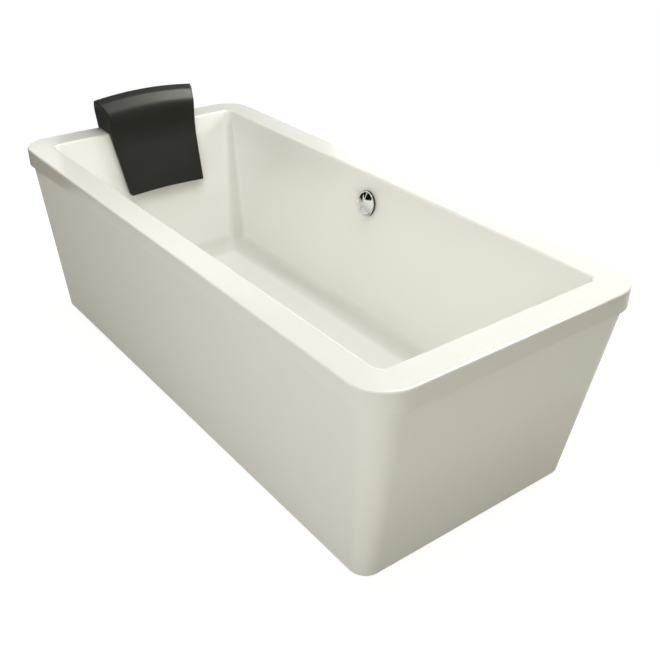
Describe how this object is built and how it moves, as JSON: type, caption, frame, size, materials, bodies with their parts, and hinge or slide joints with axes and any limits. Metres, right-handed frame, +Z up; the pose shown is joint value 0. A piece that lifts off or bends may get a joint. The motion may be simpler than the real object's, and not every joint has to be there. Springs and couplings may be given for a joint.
{
  "type": "freestanding bathtub",
  "caption": "Rectangular freestanding bath with tapered skirt, thick flat rim, lift-off head pillow, turn-cap overflow, cable-driven pop-up drain and a steel frame on levelling feet.",
  "frame": {"origin": "on the floor under the middle of the rim", "axes": "+X along the tub to the foot end, with the pillow at the -X end; +Y to the long side that carries the overflow; +Z up"},
  "size_m": [1.8, 0.808, 0.6912],
  "materials": {
    "acrylic": "gloss",
    "board_wood": "matte",
    "zinc_steel": "satin",
    "frame_paint": "satin",
    "chrome": "polished",
    "rubber": "matte",
    "white_plastic": "satin",
    "grey_plastic": "satin",
    "black_plastic": "satin",
    "pillow_skin": "satin"
  },
  "bodies": {
    "tub": {"basin_shell": "acrylic", "skirt_shell": "acrylic", "floor_board": "board_wood", "frame_rail_near": "frame_paint", "frame_rail_far": "frame_paint", "frame_cross_head": "frame_paint", "frame_cross_foot": "frame_paint", "overflow_collar": "chrome", "overflow_gasket": "rubber", "overflow_body": "grey_plastic", "drain_flange": "chrome", "drain_gasket": "rubber", "waste_body": "white_plastic", "sump_cap": "grey_plastic", "outlet_elbow": "grey_plastic", "outlet_nut": "white_plastic", "overflow_hose": "grey_plastic", "hose_clamp_top": "zinc_steel", "hose_clamp_bottom": "zinc_steel", "drive_cable": "black_plastic", "foot_nut_1": "zinc_steel", "lock_nut_1": "zinc_steel", "frame_bolt_1": "zinc_steel", "skirt_clip_1": "zinc_steel", "foot_nut_2": "zinc_steel", "lock_nut_2": "zinc_steel", "frame_bolt_2": "zinc_steel", "skirt_clip_2": "zinc_steel", "foot_nut_3": "zinc_steel", "lock_nut_3": "zinc_steel", "frame_bolt_3": "zinc_steel", "skirt_clip_3": "zinc_steel", "foot_nut_4": "zinc_steel", "lock_nut_4": "zinc_steel", "frame_bolt_4": "zinc_steel", "skirt_clip_4": "zinc_steel"},
    "overflow_turner": {"overflow_cap": "chrome", "cap_grub_screw": "zinc_steel", "overflow_spindle": "zinc_steel", "cable_pulley": "white_plastic"},
    "pop_up_plug": {"drain_plug": "chrome", "plug_seal": "rubber", "plug_stem": "zinc_steel"},
    "plug_lever": {"lift_lever": "zinc_steel"},
    "pillow": {"head_pillow": "pillow_skin", "suction_cup_1": "rubber", "suction_cup_2": "rubber"},
    "foot_1": {"foot_stud_1": "zinc_steel", "foot_pad_1": "black_plastic"},
    "foot_2": {"foot_stud_2": "zinc_steel", "foot_pad_2": "black_plastic"},
    "foot_3": {"foot_stud_3": "zinc_steel", "foot_pad_3": "black_plastic"},
    "foot_4": {"foot_stud_4": "zinc_steel", "foot_pad_4": "black_plastic"}
  },
  "joints": [
    {"name": "overflow_turn", "type": "hinge", "parent": "tub", "child": "overflow_turner", "pos_m": [-0.006, 0.3137, 0.491], "axis": [0, -0.9877, 0.1564], "range_deg": [0, 90]},
    {"name": "plug_lift", "type": "slide", "parent": "tub", "child": "pop_up_plug", "axis": [0, 0, 1], "range_m": [0, 0.008]},
    {"name": "lever_turn", "type": "hinge", "parent": "tub", "child": "plug_lever", "pos_m": [-0.022, 0, 0.0743], "axis": [0, -1, 0], "range_deg": [0, 22]},
    {"name": "pillow_lift", "type": "slide", "parent": "tub", "child": "pillow", "axis": [0, 0, 1], "range_m": [0, 0.15]},
    {"name": "foot_1_adjust", "type": "slide", "parent": "tub", "child": "foot_1", "axis": [0, 0, -1], "range_m": [0, 0.015]},
    {"name": "foot_2_adjust", "type": "slide", "parent": "tub", "child": "foot_2", "axis": [0, 0, -1], "range_m": [0, 0.015]},
    {"name": "foot_3_adjust", "type": "slide", "parent": "tub", "child": "foot_3", "axis": [0, 0, -1], "range_m": [0, 0.015]},
    {"name": "foot_4_adjust", "type": "slide", "parent": "tub", "child": "foot_4", "axis": [0, 0, -1], "range_m": [0, 0.015]}
  ],
  "couplings": [
    {"joint": "plug_lift", "follows": "overflow_turn", "m_per_rad": 0.005093},
    {"joint": "lever_turn", "follows": "overflow_turn", "ratio": 0.2444}
  ]
}
